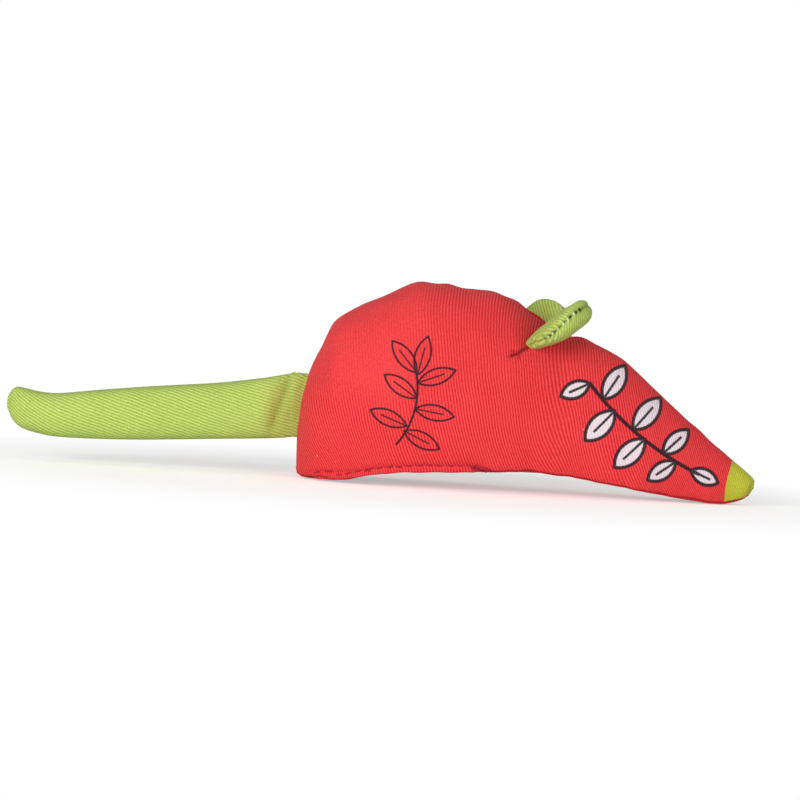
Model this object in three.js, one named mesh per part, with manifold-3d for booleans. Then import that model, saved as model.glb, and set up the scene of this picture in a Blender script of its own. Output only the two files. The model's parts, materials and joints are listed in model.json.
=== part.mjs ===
// Catnip mouse: a stuffed cat toy sewn from cotton twill, drawn in millimetres.
// X runs from the rump to the nose, +Z is up, and the mouse's right side is at -Y.
// The origin is on the flat of the base panel, where the toy stands.
import * as THREE from 'three';
import { mergeVertices } from 'three/addons/utils/BufferGeometryUtils.js';
import Module from 'manifold-3d';

// Body
const bodyLength = 147.6;
const bodyHeight = 65;
const bodyWidth = 54;
const rumpSetback = 18.4;

// Cloth and sewing
const twill = 0.9;
const layerGap = 0.3;
const seamAllowance = 5;
const closingFlange = 2.4;
const packingGap = 0.35;

// Tail
const tailLength = 90.4;
const tailRootHeight = 19;
const tailThickness = 13.5;
const tailCentreHeight = 22.7;
const tailRootThickness = 4.2;
const tailHem = 3.2;
const tailTabDepth = 5.2;
const tailTabStand = 0.5;

// Ears
const earLength = 19.4;
const earWidth = 21.5;
const earThickness = 7;
const earRootThickness = 4.2;
const earHem = 2.6;
const earTabDepth = 4;
const earLean = 35;
const leftEarBackAngle = 34;

// Stuffing
const wadRadius = 11;
const wadLength = 28;
const wadNeckRadius = 4;
const overrun = 12;

const wasm = await Module();
wasm.setup();

const vec = (x, y, z) => new THREE.Vector3(x, y, z);
const steps = (from, to, count) =>
  Array.from({ length: count + 1 }, (_, i) => from + (to - from) * i / count);
const mix = THREE.MathUtils.lerp;

// A closed skin over a row of rings with the same number of points, in which each ring
// runs clockwise when the next one is behind it. Each four points are split along their
// shorter diagonal, so that two skins on the same points lie alike. A fan closes each end.
function loft(rings) {
  const count = rings[0].length;
  const points = rings.flat();
  const faces = [];
  for (let i = 0; i < rings.length - 1; i++)
    for (let j = 0; j < count; j++) {
      const a = i * count + j;
      const b = i * count + (j + 1) % count;
      const rising = points[a].distanceTo(points[b + count]);
      const falling = points[b].distanceTo(points[a + count]);
      if (rising < falling) faces.push(a, a + count, b + count, a, b + count, b);
      else faces.push(a, a + count, b, b, a + count, b + count);
    }
  const fan = (ring, first, swap) => {
    const middle = ring.reduce((sum, p) => sum.add(p), vec(0, 0, 0)).divideScalar(count);
    const hub = points.push(middle) - 1;
    for (let j = 0; j < count; j++) {
      const a = first + j;
      const b = first + (j + 1) % count;
      if (swap) faces.push(hub, b, a);
      else faces.push(hub, a, b);
    }
  };
  fan(rings[0], 0, false);
  fan(rings.at(-1), (rings.length - 1) * count, true);
  const geometry = new THREE.BufferGeometry().setFromPoints(points);
  geometry.setIndex(faces);
  return geometry;
}

function solidOf(geometry) {
  const bare = new THREE.BufferGeometry();
  bare.setAttribute('position', geometry.getAttribute('position'));
  if (geometry.index) bare.setIndex(geometry.index);
  const merged = mergeVertices(bare);
  return new wasm.Manifold(new wasm.Mesh({
    numProp: 3,
    vertProperties: new Float32Array(merged.getAttribute('position').array),
    triVerts: new Uint32Array(merged.index.array),
  }));
}

// The solid inside a row of rings, whichever way round they run.
function sewn(rings) {
  const solid = solidOf(loft(rings));
  return solid.volume() > 0 ? solid : solidOf(loft(rings.map(ring => [...ring].reverse())));
}

function meshOf(name, solid, material) {
  const cut = solid.getMesh();
  const geometry = new THREE.BufferGeometry();
  geometry.setAttribute('position', new THREE.BufferAttribute(cut.vertProperties, 3));
  geometry.setIndex(new THREE.BufferAttribute(cut.triVerts, 1));
  geometry.computeVertexNormals();
  const mesh = new THREE.Mesh(geometry, material);
  mesh.name = name;
  return mesh;
}

const mirrored = ring => ring.map(p => vec(p.x, -p.y, p.z)).reverse();

// Body outline
// One row for each pattern station from the rump corner to the nose tip: the point on the
// back seam and the point under the belly, as shares of the body's length and height, then
// the height of the base seam, how high up the section it is widest, its width, the width
// at the base seam against it, and how square its shoulders are.
const stationShares = [
  [0.002, 0.052, 0.004, 0.020, 0.029, 0.50, 0.035, 0.60, 2.00],
  [0.000, 0.162, 0.012, 0.006, 0.034, 0.42, 0.250, 0.72, 2.00],
  [0.003, 0.308, 0.026, -0.004, 0.038, 0.38, 0.440, 0.78, 2.00],
  [0.015, 0.476, 0.047, -0.011, 0.041, 0.36, 0.625, 0.82, 2.00],
  [0.042, 0.635, 0.074, -0.012, 0.045, 0.35, 0.770, 0.84, 2.00],
  [0.065, 0.769, 0.103, -0.012, 0.048, 0.34, 0.865, 0.86, 2.05],
  [0.116, 0.853, 0.138, -0.011, 0.054, 0.34, 0.930, 0.87, 2.10],
  [0.184, 0.933, 0.189, 0.001, 0.071, 0.33, 0.980, 0.87, 2.10],
  [0.250, 0.997, 0.250, 0.025, 0.092, 0.33, 1.000, 0.87, 2.10],
  [0.335, 0.982, 0.335, 0.055, 0.108, 0.32, 0.985, 0.87, 2.05],
  [0.419, 0.962, 0.419, 0.075, 0.111, 0.31, 0.935, 0.87, 1.95],
  [0.486, 0.885, 0.486, 0.075, 0.102, 0.30, 0.875, 0.87, 1.90],
  [0.553, 0.789, 0.553, 0.070, 0.091, 0.30, 0.800, 0.87, 1.85],
  [0.612, 0.768, 0.612, 0.061, 0.080, 0.29, 0.725, 0.87, 1.80],
  [0.684, 0.687, 0.684, 0.045, 0.063, 0.29, 0.630, 0.86, 1.80],
  [0.768, 0.538, 0.768, 0.022, 0.040, 0.30, 0.510, 0.85, 1.85],
  [0.852, 0.381, 0.850, 0.003, 0.025, 0.32, 0.385, 0.82, 1.90],
  [0.921, 0.258, 0.911, -0.005, 0.020, 0.36, 0.280, 0.78, 2.00],
  [0.968, 0.186, 0.950, 0.012, 0.034, 0.42, 0.205, 0.72, 2.00],
  [0.994, 0.149, 0.980, 0.040, 0.058, 0.45, 0.145, 0.66, 2.00],
  [1.000, 0.122, 0.994, 0.071, 0.080, 0.50, 0.070, 0.60, 2.00],
];
const lastStation = stationShares.length - 1;
const outline = new THREE.CubicInterpolant(
  stationShares.map((_, i) => i), stationShares.flat(), stationShares[0].length);

// The stations are closer together over the rump, which turns the most.
const rumpStation = 6;
const rumpSteps = 14;
const foreSteps = 18;
const stations = [
  ...steps(0, rumpStation, rumpSteps),
  ...steps(rumpStation, lastStation, foreSteps).slice(1),
];
const baseSteps = 4;
const flankSteps = 3;
const backSteps = 8;
const bellyPower = 3;
const alongBody = share => share * bodyLength - rumpSetback;

// One ring of the body: up the right side from under the belly, over the base seam and the
// flank to the back seam, and down the left. What would hang below the floor lies on it.
function bodyRing(station) {
  const [backX, backZ, baseX, baseZ, seamZ, widest, width, seamWidth, square] =
    outline.evaluate(station);
  const foot = vec(alongBody(baseX), 0, baseZ * bodyHeight);
  const up = vec(alongBody(backX), 0, backZ * bodyHeight).sub(foot);
  const height = up.length();
  up.divideScalar(height);
  const flankY = width * bodyWidth / 2;
  const seamY = flankY * seamWidth;
  const seamH = (seamZ - baseZ) * bodyHeight / up.z;
  const flankH = mix(seamH, height, widest);
  const half = [];
  for (const share of steps(0, 1, baseSteps)) {
    half.push([seamY * share, seamH * share ** bellyPower]);
  }
  for (const share of steps(0, 1, flankSteps).slice(1)) {
    const turn = share * Math.PI / 2;
    half.push([mix(seamY, flankY, Math.sin(turn)), mix(flankH, seamH, Math.cos(turn))]);
  }
  for (const share of steps(0, 1, backSteps).slice(1)) {
    const turn = share * Math.PI / 2;
    const rise = mix(flankH, height, Math.sin(turn) ** (2 / square));
    half.push([share < 1 ? flankY * Math.cos(turn) ** (2 / square) : 0, rise]);
  }
  const place = ([y, h]) => {
    const point = foot.clone().addScaledVector(up, h).setY(-y);
    return point.setZ(Math.max(point.z, 0));
  };
  const right = half.map(place);
  const left = half.slice(1, -1).map(([y, h]) => place([-y, h])).reverse();
  return [...right, ...left];
}

const seamColumn = baseSteps;
const backColumn = baseSteps + flankSteps + backSteps;
const columns = 2 * backColumn;

// The normals of the body's skin, ring by ring, evened out between its two sides.
function normalsOf(rings) {
  const geometry = loft(rings);
  geometry.computeVertexNormals();
  const normal = geometry.getAttribute('normal');
  const at = (i, j) => vec(0, 0, 0).fromBufferAttribute(normal, i * columns + j % columns);
  return rings.map((ring, i) => ring.map((_, j) => {
    const twin = at(i, columns - j);
    return at(i, j).add(vec(twin.x, -twin.y, twin.z)).normalize();
  }));
}

// The body's rings drawn in through the cloth, deeper where the two panels meet in a corner.
const cornerDepth = 1.25;
function drawnIn(rings, inset) {
  const normals = normalsOf(rings);
  return rings.map((ring, i) => ring.map((point, j) => {
    const corner = j === seamColumn || j === columns - seamColumn;
    return point.clone().addScaledVector(normals[i][j], -inset * (corner ? cornerDepth : 1));
  }));
}

const outerRings = stations.map(bodyRing);
const outerNormals = normalsOf(outerRings);

// The hollow's rings lie on the same stations as the skin's, but near the two ends they are
// crowded towards the middle, and each end is nearly closed by one more ring.
const hollowEnd = 0.6;
const hollowTurn = 1.3;
const endRingShare = 0.12;
const hollowRings = stations.slice(1, -1).map(station => {
  const fromEnd = Math.min(station, lastStation - station);
  const drawn = fromEnd < hollowTurn ? mix(hollowEnd, hollowTurn, fromEnd / hollowTurn) : fromEnd;
  return bodyRing(station < lastStation / 2 ? drawn : lastStation - drawn);
});
const closed = ring => {
  const middle = ring.reduce((sum, p) => sum.add(p), vec(0, 0, 0)).divideScalar(ring.length);
  return ring.map(p => middle.clone().lerp(p, endRingShare));
};
const liningRings = drawnIn(hollowRings, twill);
const innerRings = [closed(liningRings[0]), ...liningRings, closed(liningRings.at(-1))];

// Panels of the body
// At a seam the cloth's edge is turned in, or pinched outwards where the toy was closed by
// hand. Its four corners are set off from the seam line: across, into the panel, and inward.
const nextRing = i => outerRings[Math.min(i + 1, outerRings.length - 1)];
function seamFrame(i, column, towards) {
  const seam = outerRings[i][column];
  const before = outerRings[Math.max(i - 1, 0)][column];
  const after = nextRing(i)[column];
  const along = after.clone().sub(before).normalize();
  const inward = outerNormals[i][column].clone().negate();
  inward.addScaledVector(along, -inward.dot(along)).normalize();
  const across = along.clone().cross(inward).normalize();
  const side = outerRings[i][(towards + columns) % columns].clone().sub(seam);
  if (across.dot(side) < 0) across.negate();
  return { seam, inward, across };
}

const bodySection = i => {
  const ring = outerRings[i];
  return { width: 2 * Math.abs(ring[seamColumn].y), height: ring[backColumn].distanceTo(ring[0]) };
};
const smallestHem = 3 * seamAllowance;
const closingShares = [0.035, 0.424];
const [closingStart, closingEnd] = closingShares.map(alongBody);

const turnedHem = i => {
  const { width, height } = bodySection(i);
  return Math.min(width, height) > smallestHem
    ? { turned: 1, pinched: 0, reach: seamAllowance } : { turned: 0, pinched: 0, reach: 0 };
};
const closingHem = i => {
  const { x } = outerRings[i][seamColumn];
  const step = outerRings[i][seamColumn].distanceTo(nextRing(i)[seamColumn]);
  if (x > closingStart && x < closingEnd) return { turned: 0, pinched: 1, reach: -closingFlange };
  const beside = x > closingStart - step && x < closingEnd + step;
  return beside ? { turned: 0, pinched: 0, reach: 0 } : turnedHem(i);
};

function hemCorners(i, column, towards, hem, part) {
  const { seam, inward, across } = seamFrame(i, column, towards);
  const lining = innerRings[i][column];
  const { turned, pinched, reach } = hem;
  const at = (base, aside, depth) =>
    base.clone().addScaledVector(across, aside).addScaledVector(inward, depth);
  const outer = part + twill * pinched;
  const inner = part + twill * turned;
  const folded = turned + pinched;
  return {
    face: at(seam, outer, pinched * twill / 3),
    faceTip: at(seam, outer, folded ? reach : twill / 3),
    liningTip: at(seam, inner, folded ? reach : 2 * twill / 3),
    lining: at(lining, inner, 0),
  };
}

// A panel between two seams, as a row of sections through its cloth.
function panelRings(first, last, firstHem, lastHem, parting) {
  const between = [];
  for (let j = first + 1; j < last; j++) between.push((j + columns) % columns);
  const wrap = j => (j + columns) % columns;
  return outerRings.map((ring, i) => {
    const start = hemCorners(i, wrap(first), first + 1, firstHem(i), layerGap / 2);
    const end = hemCorners(i, wrap(last), last - 1, lastHem(i), parting(i));
    return [
      start.face, ...between.map(j => ring[j]), end.face,
      end.faceTip, end.liningTip, end.lining,
      ...between.map(j => innerRings[i][j]).reverse(), start.lining,
      start.liningTip, start.faceTip,
    ];
  });
}

// The back seam parts around the flattened tail end, which is sewn in between its hems.
const tailTabThickness = 2 * twill + layerGap;
const tailTop = tailCentreHeight + tailRootHeight / 2;
const tailFoot = tailCentreHeight - tailRootHeight / 2;
const partingSteps = 1.2;
const backParting = i => {
  const { x, z } = outerRings[i][backColumn];
  const step = outerRings[i][backColumn].distanceTo(nextRing(i)[backColumn]);
  const beyond = partingSteps * step;
  const holdsTail = x < 0 && z > tailFoot - beyond && z < tailTop + beyond;
  return holdsTail ? tailTabThickness / 2 + layerGap : layerGap / 2;
};

const evenParting = () => layerGap / 2;
const rightPanel = panelRings(seamColumn, backColumn, closingHem, turnedHem, backParting);
const leftPanel = panelRings(seamColumn, backColumn, turnedHem, turnedHem, backParting)
  .map(mirrored);
const basePanel = panelRings(-seamColumn, seamColumn, turnedHem, closingHem, evenParting);

// Padded pieces sewn from two layers
// A row gives the place along the piece, its two edges and half its thickness. The layers
// meet in the plane between the edges and have their hems turned in along it.
const domeSteps = 8;
const domePower = 0.8;
const thinnest = twill / 9;
const widestHemShare = 0.3;
const hemOf = (row, hem) => Math.min(hem, (row.high - row.low) * widestHemShare);
const dome = (edges, rise, level) => steps(0, 1, domeSteps).map(share => {
  const turn = share * Math.PI;
  const [low, high] = edges;
  return [mix((low + high) / 2, low, Math.cos(turn)), level + rise * Math.sin(turn) ** domePower];
});

function layerRings(rows, linings, hem, gap) {
  return rows.map((row, i) => {
    const lining = linings[i];
    const level = gap + twill;
    const face = dome([row.low, row.high], row.rise - gap, gap);
    const inside = dome([lining.low, lining.high], Math.max(lining.rise - level, thinnest), level);
    const turn = hemOf(row, hem);
    const hems = [
      [row.high - turn, gap], [row.high - turn, level], ...inside.reverse(),
      [row.low + turn, level], [row.low + turn, gap],
    ];
    return [
      ...face.map(([across, up]) => ({ along: row.along, across, up })),
      ...hems.map(([across, up]) => ({ along: lining.along, across, up })),
    ];
  });
}

// Rows smoothed through a table of shares, and the same rows inside the cloth.
function rowsThrough(table, count) {
  const curve = new THREE.CubicInterpolant(
    table.map((_, i) => i), table.flat(), table[0].length);
  return steps(0, table.length - 1, count).map(at => [...curve.evaluate(at)]);
}

const widestEdgeShare = 0.2;
function liningOf(rows) {
  const start = rows[0].along + twill;
  const end = rows.at(-1).along - twill;
  return rows.map(row => {
    const narrow = Math.min(twill, (row.high - row.low) * widestEdgeShare);
    const share = (row.along - rows[0].along) / (rows.at(-1).along - rows[0].along);
    return {
      along: mix(start, end, share),
      low: row.low + narrow,
      high: row.high - narrow,
      rise: row.rise - twill,
    };
  });
}

// The flattened root of a padded piece ends in a half round about the line it bends on.
const roundShares = [0.08, 0.35, 0.6, 0.8];
const rootRound = (radius, low, high) => roundShares.map(share => {
  const turn = share * Math.PI / 2;
  return { along: -radius * Math.cos(turn), low, high, rise: radius * Math.sin(turn) };
});

// Tail
// Along the tail from its bending line to the tip, as shares of its length: the top and the
// bottom from the root's middle, against the root's height, and the thickness.
const tailShares = [
  [0.000, 0.532, -0.500, 0.310],
  [0.050, 0.478, -0.528, 0.560],
  [0.110, 0.416, -0.558, 0.860],
  [0.250, 0.305, -0.616, 1.000],
  [0.390, 0.216, -0.668, 0.990],
  [0.533, 0.132, -0.716, 0.970],
  [0.673, 0.047, -0.747, 0.950],
  [0.815, -0.032, -0.742, 0.920],
  [0.885, -0.037, -0.705, 0.870],
  [0.938, -0.005, -0.650, 0.740],
  [0.978, 0.005, -0.520, 0.520],
  [1.000, -0.110, -0.360, 0.200],
];
const tailRadius = tailRootThickness / 2;
const tailAxisX = -rumpSetback - tailTabStand - layerGap - tailRadius;
const tailBody = rowsThrough(tailShares, 17).map(([along, top, bottom, thick]) => ({
  along: along * tailLength,
  low: bottom * tailRootHeight,
  high: top * tailRootHeight,
  rise: Math.max(thick * tailThickness / 2, along > 0 ? 0 : tailRadius),
}));
const tailRows = [...rootRound(tailRadius, tailBody[0].low, tailBody[0].high), ...tailBody];
const tailLinings = liningOf(tailRows);
const tailPlace = ({ along, across, up }, side) =>
  vec(-along, side * up, tailCentreHeight + across);
const tailRight = layerRings(tailRows, tailLinings, tailHem, layerGap / 2)
  .map(ring => ring.map(p => tailPlace(p, -1)));
const tailLeft = tailRight.map(mirrored);

// The stuffing inside a padded piece, with a groove along each edge for the hems.
function paddingRings(rows, hem) {
  const level = layerGap / 2 + twill + packingGap;
  const full = rows.filter(row => row.rise > level + 3 * packingGap);
  return full.map(row => {
    const edges = [row.low + packingGap, row.high - packingGap];
    const upper = dome(edges, row.rise - packingGap - level, level);
    const lower = upper.map(([across, up]) => [across, -up]).reverse();
    const groove = hemOf(row, hem) - twill + 2 * packingGap;
    const upperGroove = [[row.high - groove, level], [row.high - groove, -level]];
    const lowerGroove = [[row.low + groove, -level], [row.low + groove, level]];
    return [...upper, ...upperGroove, ...lower, ...lowerGroove]
      .map(([across, up]) => ({ along: row.along, across, up }));
  });
}
const tailPadding = paddingRings(tailLinings, tailHem).map(ring => ring.map(p => tailPlace(p, 1)));

// The flattened end of the tail's cloth, from the bending line into the back seam.
function tailTab(extra) {
  const start = -rumpSetback - tailTabStand - extra;
  const end = -rumpSetback + tailTabDepth + extra;
  const height = tailRootHeight - 2 * layerGap + 2 * extra;
  return new THREE.BoxGeometry(end - start, tailTabThickness + 2 * extra, height)
    .translate((start + end) / 2, 0, tailCentreHeight);
}

// Ears
// Along an ear from its bending line to the tip, as shares of its length: half its width
// and its thickness, against the widest and the thickest.
const earShares = [
  [0.00, 0.76, 0.60],
  [0.14, 0.88, 0.84],
  [0.34, 0.98, 0.98],
  [0.54, 1.00, 1.00],
  [0.72, 0.91, 0.92],
  [0.87, 0.69, 0.76],
  [0.96, 0.40, 0.54],
  [1.00, 0.14, 0.26],
];
const earRadius = earRootThickness / 2;
const earBody = rowsThrough(earShares, 11).map(([along, wide, thick]) => ({
  along: along * earLength,
  low: -wide * earWidth / 2,
  high: wide * earWidth / 2,
  rise: thick * earThickness / 2,
}));
earBody[0].rise = earRadius;
const earRows = [...rootRound(earRadius, earBody[0].low, earBody[0].high), ...earBody];
const earLayer = layerRings(earRows, liningOf(earRows), earHem, layerGap / 2);

// The ear's root runs over the side of the head, between two places given as shares of the
// body's length from the rump and of its width from the middle.
const earRootShares = {
  right: { outer: [0.482, 0.298], inner: [0.530, 0.088] },
  left: { outer: [0.484, 0.372], inner: [0.548, 0.250] },
};
const bodySkin = new THREE.Mesh(loft(outerRings), new THREE.MeshBasicMaterial({ side: THREE.DoubleSide }));
function onBody(place, outwards) {
  const start = place.clone().addScaledVector(outwards, 2 * bodyHeight);
  return new THREE.Raycaster(start, outwards.clone().negate()).intersectObject(bodySkin)[0].point;
}

// The seat of an ear: its root's direction and length, the way it rises, and its bending
// line, which lies as low over the skin as the round of the root allows.
const seatSteps = 8;
function earSeat(side, rootShares) {
  const end = ([alongShare, acrossShare]) =>
    onBody(vec(alongBody(alongShare), side * acrossShare * bodyWidth, 0), vec(0, 0, 1));
  const outer = end(rootShares.outer);
  const inner = end(rootShares.inner);
  const chord = inner.clone().sub(outer);
  const length = chord.length();
  chord.normalize();
  const lean = THREE.MathUtils.degToRad(earLean);
  const rise = vec(Math.cos(lean), 0, Math.sin(lean));
  rise.addScaledVector(chord, -rise.dot(chord)).normalize();
  const back = chord.clone().cross(rise).multiplyScalar(side);
  const reach = earRadius + layerGap;
  const lifts = steps(0, 1, seatSteps).flatMap(share => steps(-1, 1, seatSteps).map(aside => {
    const foot = outer.clone().lerp(inner, share).addScaledVector(back, aside * reach);
    return onBody(foot, rise).sub(outer).dot(rise) + reach * Math.sqrt(1 - aside ** 2);
  }));
  const lift = Math.max(...lifts);
  const middle = outer.clone().lerp(inner, 1 / 2);
  const hinge = middle.clone().addScaledVector(rise, lift);
  return { chord, rise, back, length, lift, middle, hinge };
}

// The blade of cloth below an ear's bending line, through the slit in the side panel.
function earTab(seat, extra) {
  const top = seat.lift - earRadius - layerGap + extra;
  const foot = -earTabDepth - extra;
  const blade = new THREE.BoxGeometry(
    seat.length + 2 * extra, top - foot, 2 * twill + layerGap + 2 * extra);
  blade.translate(0, (top + foot) / 2, 0);
  return blade.applyMatrix4(new THREE.Matrix4()
    .makeBasis(seat.chord, seat.rise, seat.chord.clone().cross(seat.rise)).setPosition(seat.middle));
}

// Stuffing
// The wad of dried catnip lies low in the thick of the body, and its narrow end, by which it
// was put in, points at the closing seam.
const wadShares = [
  [0.00, -1.00], [0.42, -0.93], [0.76, -0.70], [0.96, -0.36], [1.00, 0.00],
  [0.94, 0.34], [0.74, 0.64], [0.52, 0.82],
];
const wadMiddleShares = [0.30, 0.03, 0.43];
const [wadAlong, wadAside, wadUp] = wadMiddleShares;
const wadMiddle = vec(alongBody(wadAlong), wadAside * bodyWidth, wadUp * bodyHeight);
const wadSides = 16;
const closingRing = outerRings.find(ring => ring[seamColumn].x > wadMiddle.x);
const wadWay = closingRing[seamColumn].clone().sub(wadMiddle).setX(0);

function wad(grow, neckEnd) {
  const profile = wadShares.map(([out, along]) =>
    new THREE.Vector2(out * (wadRadius + grow), along * (wadLength / 2 + grow)));
  profile.push(new THREE.Vector2(wadNeckRadius + grow, wadLength / 2 + grow));
  profile.push(new THREE.Vector2(wadNeckRadius + grow, neckEnd), new THREE.Vector2(0, neckEnd));
  const aim = wadWay.clone().normalize();
  const tilt = new THREE.Quaternion().setFromUnitVectors(vec(0, 1, 0), aim);
  return new THREE.LatheGeometry(profile, wadSides)
    .applyQuaternion(tilt).translate(wadMiddle.x, wadMiddle.y, wadMiddle.z);
}

// The stuffing's grooves take the hems, wherever they are turned in.
const grooveHalf = layerGap / 2 + twill + packingGap;
const grooveDepth = seamAllowance + packingGap;

function hemGrooves(column, towards, hem, half = () => grooveHalf) {
  const runs = [];
  for (let i = 1; i < outerRings.length; i++) {
    if (!hem(i).turned) continue;
    if (!hem(i - 1).turned) runs.push([i - 1]);
    runs.at(-1).push(i, i + 1);
  }
  return runs.map(run => {
    const rings = [...new Set(run)].map(i => {
      const { seam, inward, across } = seamFrame(i, column, towards);
      const at = (aside, depth) =>
        seam.clone().addScaledVector(across, aside).addScaledVector(inward, depth);
      const wide = half(i);
      return [
        at(wide, -twill), at(-wide, -twill), at(-wide, grooveDepth), at(wide, grooveDepth),
      ];
    });
    return sewn(rings);
  });
}

const seats = {
  right: earSeat(-1, earRootShares.right),
  left: earSeat(1, earRootShares.left),
};
const bodyStuffing = () => {
  const inside = sewn(drawnIn(hollowRings, twill + packingGap));
  const backHalf = i => backParting(i) + twill + packingGap;
  return [
    ...hemGrooves(seamColumn, seamColumn + 1, closingHem),
    ...hemGrooves(columns - seamColumn, columns - seamColumn - 1, turnedHem),
    ...hemGrooves(backColumn, backColumn + 1, turnedHem, backHalf),
    ...Object.values(seats).map(seat => solidOf(earTab(seat, packingGap))),
    solidOf(tailTab(packingGap)),
    solidOf(wad(packingGap, wadWay.length() + overrun)),
  ].reduce((solid, cut) => solid.subtract(cut), inside);
};

// Colours and pieces
const cloth = (name, color) =>
  new THREE.MeshStandardMaterial({ name, color, roughness: 0.92, metalness: 0 });
const redTwill = cloth('red twill', 0xde4a49);
const limeTwill = cloth('lime twill', 0xb2ca5c);
const fibre = cloth('polyester fibre', 0xf1efe8);
const catnip = cloth('dried catnip', 0x7d8350);

const mouse = new THREE.Group();

const slit = side => solidOf(earTab(seats[side], layerGap));
mouse.add(
  meshOf('side_panel_right', sewn(rightPanel).subtract(slit('right')), redTwill),
  meshOf('side_panel_left', sewn(leftPanel).subtract(slit('left')), redTwill),
  meshOf('base_panel', sewn(basePanel), redTwill),
  meshOf('body_filling', bodyStuffing(), fibre),
  meshOf('catnip_fill', solidOf(wad(0, wadWay.length() - 2 * twill - wadNeckRadius)), catnip),
  meshOf('tail_root', solidOf(tailTab(0)), limeTwill),
);

const tail = new THREE.Group();
tail.position.x = tailAxisX;
tail.add(
  meshOf('tail_panel_right', sewn(tailRight), limeTwill),
  meshOf('tail_panel_left', sewn(tailLeft), limeTwill),
  meshOf('tail_filling', sewn(tailPadding), fibre),
);
mouse.add(tail);

const earBack = earLayer.map(ring => ring.map(p => vec(p.across, p.along, p.up)));
const earFront = earLayer.map(ring => ring.map(p => vec(p.across, p.along, -p.up)));
for (const [side, sign, backAngle] of [['right', -1, 0], ['left', 1, leftEarBackAngle]]) {
  const { chord, rise, back, hinge } = seats[side];
  const ear = new THREE.Group();
  ear.position.copy(hinge);
  ear.quaternion.setFromRotationMatrix(
    new THREE.Matrix4().makeBasis(chord.clone().multiplyScalar(sign), rise, back));
  ear.rotateX(THREE.MathUtils.degToRad(backAngle));
  ear.add(
    meshOf(`ear_${side}_front`, sewn(earFront), limeTwill),
    meshOf(`ear_${side}_back`, sewn(earBack), limeTwill),
  );
  mouse.add(ear, meshOf(`ear_${side}_root`, solidOf(earTab(seats[side], 0)), limeTwill));
}

export default mouse;
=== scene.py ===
import json
import math
from functools import partialmethod
import bpy
import numpy as np
from mathutils import Matrix, Vector


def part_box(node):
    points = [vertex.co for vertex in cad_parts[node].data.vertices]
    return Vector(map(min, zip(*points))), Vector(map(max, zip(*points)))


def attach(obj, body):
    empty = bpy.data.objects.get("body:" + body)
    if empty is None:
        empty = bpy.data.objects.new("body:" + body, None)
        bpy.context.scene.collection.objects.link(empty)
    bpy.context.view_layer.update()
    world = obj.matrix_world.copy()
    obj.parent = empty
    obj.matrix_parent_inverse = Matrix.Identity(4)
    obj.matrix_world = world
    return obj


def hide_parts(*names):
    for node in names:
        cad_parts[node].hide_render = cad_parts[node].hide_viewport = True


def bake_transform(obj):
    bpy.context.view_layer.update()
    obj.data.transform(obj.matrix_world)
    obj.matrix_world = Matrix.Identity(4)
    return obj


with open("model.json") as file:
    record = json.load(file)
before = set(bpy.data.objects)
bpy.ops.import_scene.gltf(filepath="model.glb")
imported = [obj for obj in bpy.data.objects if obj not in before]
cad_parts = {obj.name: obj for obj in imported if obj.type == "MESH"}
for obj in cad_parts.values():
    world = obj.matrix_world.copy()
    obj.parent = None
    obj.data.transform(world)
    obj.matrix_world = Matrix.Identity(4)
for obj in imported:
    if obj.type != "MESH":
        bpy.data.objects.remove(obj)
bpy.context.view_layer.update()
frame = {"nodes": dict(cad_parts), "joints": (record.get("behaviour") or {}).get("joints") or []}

# Side panels
# The right and left sides of the body are cut from printed red cotton twill. They are sewn
# together along the back with their edges turned in, and slits in them take the ears.

# One row for each pattern station from the rump corner to the nose tip, in shares of the
# body's size: the point on the back seam and the point under the belly, the height of the
# side's lower edge, how high up the section it is widest, its width, the width at the lower
# edge, and how square its top is.
station_shares = np.array([
    [0.002, 0.052, 0.004, 0.016, 0.022, 0.50, 0.035, 0.60, 2.00],
    [0.000, 0.162, 0.012, 0.004, 0.010, 0.42, 0.250, 0.72, 2.00],
    [0.003, 0.308, 0.026, -0.002, 0.007, 0.38, 0.440, 0.78, 2.00],
    [0.015, 0.476, 0.047, -0.004, 0.008, 0.36, 0.625, 0.82, 2.00],
    [0.042, 0.635, 0.074, -0.004, 0.013, 0.35, 0.770, 0.84, 2.00],
    [0.065, 0.769, 0.103, 0.004, 0.019, 0.34, 0.865, 0.86, 2.05],
    [0.116, 0.853, 0.138, 0.022, 0.031, 0.34, 0.930, 0.87, 2.10],
    [0.184, 0.933, 0.189, 0.048, 0.055, 0.33, 0.980, 0.87, 2.10],
    [0.250, 0.997, 0.250, 0.068, 0.075, 0.33, 1.000, 0.87, 2.10],
    [0.335, 0.982, 0.335, 0.080, 0.087, 0.32, 0.985, 0.87, 2.05],
    [0.419, 0.962, 0.419, 0.090, 0.097, 0.31, 0.935, 0.87, 1.95],
    [0.486, 0.885, 0.486, 0.102, 0.109, 0.30, 0.875, 0.87, 1.90],
    [0.553, 0.789, 0.553, 0.094, 0.100, 0.30, 0.800, 0.87, 1.85],
    [0.612, 0.768, 0.612, 0.080, 0.086, 0.29, 0.725, 0.87, 1.80],
    [0.684, 0.687, 0.684, 0.062, 0.068, 0.29, 0.630, 0.86, 1.80],
    [0.768, 0.538, 0.768, 0.032, 0.038, 0.30, 0.510, 0.85, 1.85],
    [0.852, 0.381, 0.850, 0.010, 0.016, 0.32, 0.385, 0.82, 1.90],
    [0.921, 0.258, 0.911, -0.003, 0.003, 0.36, 0.280, 0.78, 2.00],
    [0.960, 0.192, 0.942, 0.003, 0.008, 0.42, 0.215, 0.72, 2.00],
    [0.988, 0.146, 0.970, 0.024, 0.029, 0.45, 0.160, 0.66, 2.00],
    [0.994, 0.130, 0.981, 0.040, 0.045, 0.50, 0.095, 0.60, 2.00],
])
last_station = len(station_shares) - 1

# All sewing sizes here are in millimetres, and a mesh is made in metres.
mm = 0.001


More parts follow.
